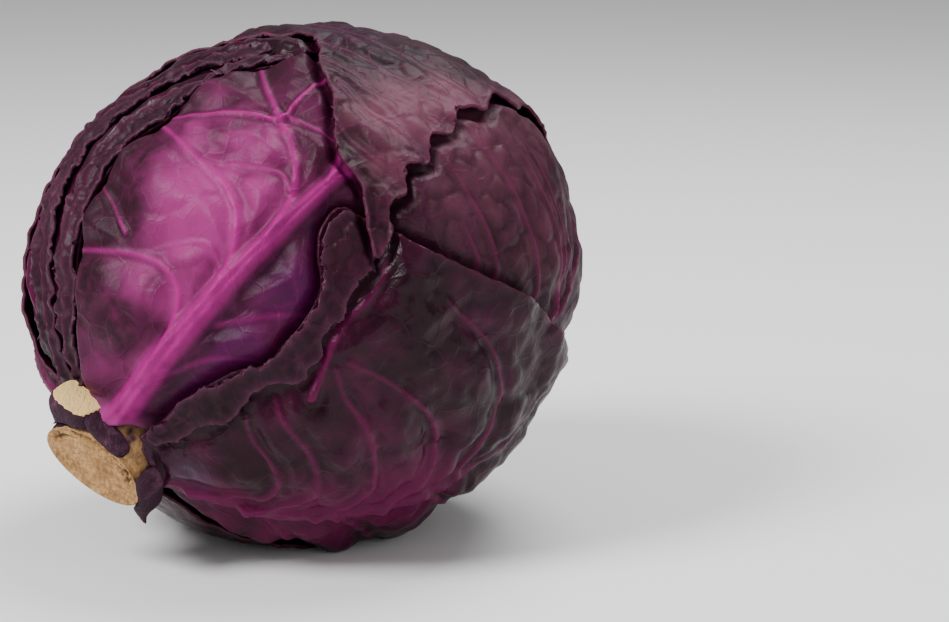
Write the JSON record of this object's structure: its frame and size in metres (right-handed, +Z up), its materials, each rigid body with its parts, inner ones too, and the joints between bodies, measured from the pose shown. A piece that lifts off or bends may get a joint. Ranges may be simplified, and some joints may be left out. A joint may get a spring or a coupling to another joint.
{
  "type": "red cabbage",
  "caption": "Whole red cabbage head lying on its side, with wrapper leaves, tightly folded head leaves and a cut stalk",
  "frame": {"origin": "bottom centre of the bounding box, on the surface the head rests on", "axes": "+Z up, away from the resting spot; the stalk points down towards -X and -Y, and the crown up towards +X and +Y"},
  "size_m": [0.1742, 0.1688, 0.1623],
  "materials": {
    "crown_leaf": "satin",
    "wrapper": "satin",
    "front_leaf": "satin",
    "inner_leaf": "satin",
    "stalk": "matte",
    "stem_stub": "satin"
  },
  "bodies": {
    "root": {"crown_leaf": "crown_leaf", "underside_leaf": "wrapper", "lower_right_leaf": "wrapper", "left_leaf": "wrapper", "right_crown_leaf": "crown_leaf", "front_leaf": "front_leaf", "back_leaf": "inner_leaf", "top_leaf": "inner_leaf", "far_side_leaf": "inner_leaf", "head_leaf_01": "inner_leaf", "head_leaf_02": "inner_leaf", "head_leaf_03": "inner_leaf", "head_leaf_04": "inner_leaf", "head_leaf_05": "inner_leaf", "head_leaf_06": "inner_leaf", "head_leaf_07": "inner_leaf", "head_leaf_08": "inner_leaf", "head_leaf_09": "inner_leaf", "head_leaf_10": "inner_leaf", "head_leaf_11": "inner_leaf", "head_leaf_12": "inner_leaf", "head_leaf_13": "inner_leaf", "head_leaf_14": "inner_leaf", "head_leaf_15": "inner_leaf", "head_leaf_16": "inner_leaf", "heart_bud": "inner_leaf", "stalk_core": "stalk", "upper_stem_stub": "stem_stub", "front_stem_stub": "stem_stub", "right_stem_stub": "stem_stub"}
  },
  "joints": []
}
